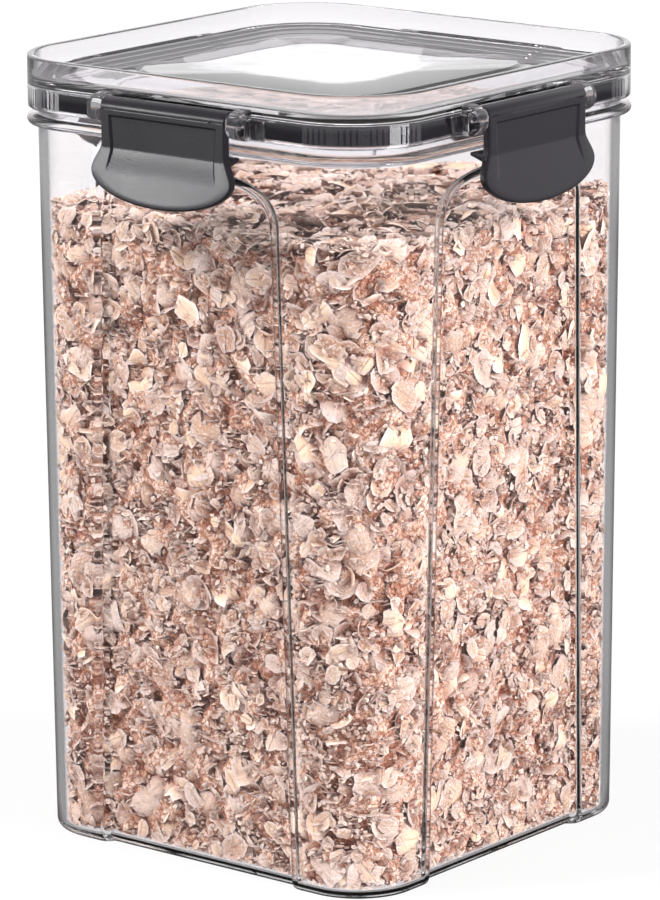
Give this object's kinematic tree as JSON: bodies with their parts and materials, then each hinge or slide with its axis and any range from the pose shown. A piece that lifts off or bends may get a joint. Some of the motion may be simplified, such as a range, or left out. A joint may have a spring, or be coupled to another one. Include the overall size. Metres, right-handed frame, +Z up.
{
  "type": "food storage canister",
  "caption": "Tall clear square food canister filled with rolled oats, its clear lid held down by dark hinged clips that hook under a bead around the jar's rim.",
  "frame": {"origin": "middle of the base, on the surface that the canister stands on", "axes": "+Z up; the front, with its own clip, faces -Y; +X is to the right seen from the front"},
  "size_m": [0.1238, 0.1238, 0.1845],
  "materials": {
    "clear_jar": "gloss",
    "clear_lid": "gloss",
    "oats": "matte",
    "seal": "matte",
    "clip_plastic": "satin"
  },
  "bodies": {
    "jar": {"jar_body": "clear_jar", "rolled_oats": "oats"},
    "lid": {"lid_shell": "clear_lid", "lid_gasket": "seal"},
    "front_clip": {"clip_front": "clip_plastic"},
    "right_clip": {"clip_right": "clip_plastic"},
    "back_clip": {"clip_back": "clip_plastic"},
    "left_clip": {"clip_left": "clip_plastic"}
  },
  "joints": [
    {"name": "lid_lift", "type": "slide", "parent": "jar", "child": "lid", "axis": [0, 0, 1], "range_m": [0, 0.012]},
    {"name": "front_clip_hinge", "type": "hinge", "parent": "lid", "child": "front_clip", "pos_m": [0, -0.05745, 0.1768], "axis": [-1, 0, 0], "range_deg": [0, 120]},
    {"name": "right_clip_hinge", "type": "hinge", "parent": "lid", "child": "right_clip", "pos_m": [0.05745, 0, 0.1768], "axis": [0, -1, 0], "range_deg": [0, 120]},
    {"name": "back_clip_hinge", "type": "hinge", "parent": "lid", "child": "back_clip", "pos_m": [0, 0.05745, 0.1768], "axis": [1, 0, 0], "range_deg": [0, 120]},
    {"name": "left_clip_hinge", "type": "hinge", "parent": "lid", "child": "left_clip", "pos_m": [-0.05745, 0, 0.1768], "axis": [0, 1, 0], "range_deg": [0, 120]}
  ],
  "couplings": [
    {"joint": "front_clip_hinge", "follows": "lid_lift", "rad_per_m": 174},
    {"joint": "right_clip_hinge", "follows": "lid_lift", "rad_per_m": 174},
    {"joint": "back_clip_hinge", "follows": "lid_lift", "rad_per_m": 174},
    {"joint": "left_clip_hinge", "follows": "lid_lift", "rad_per_m": 174}
  ]
}
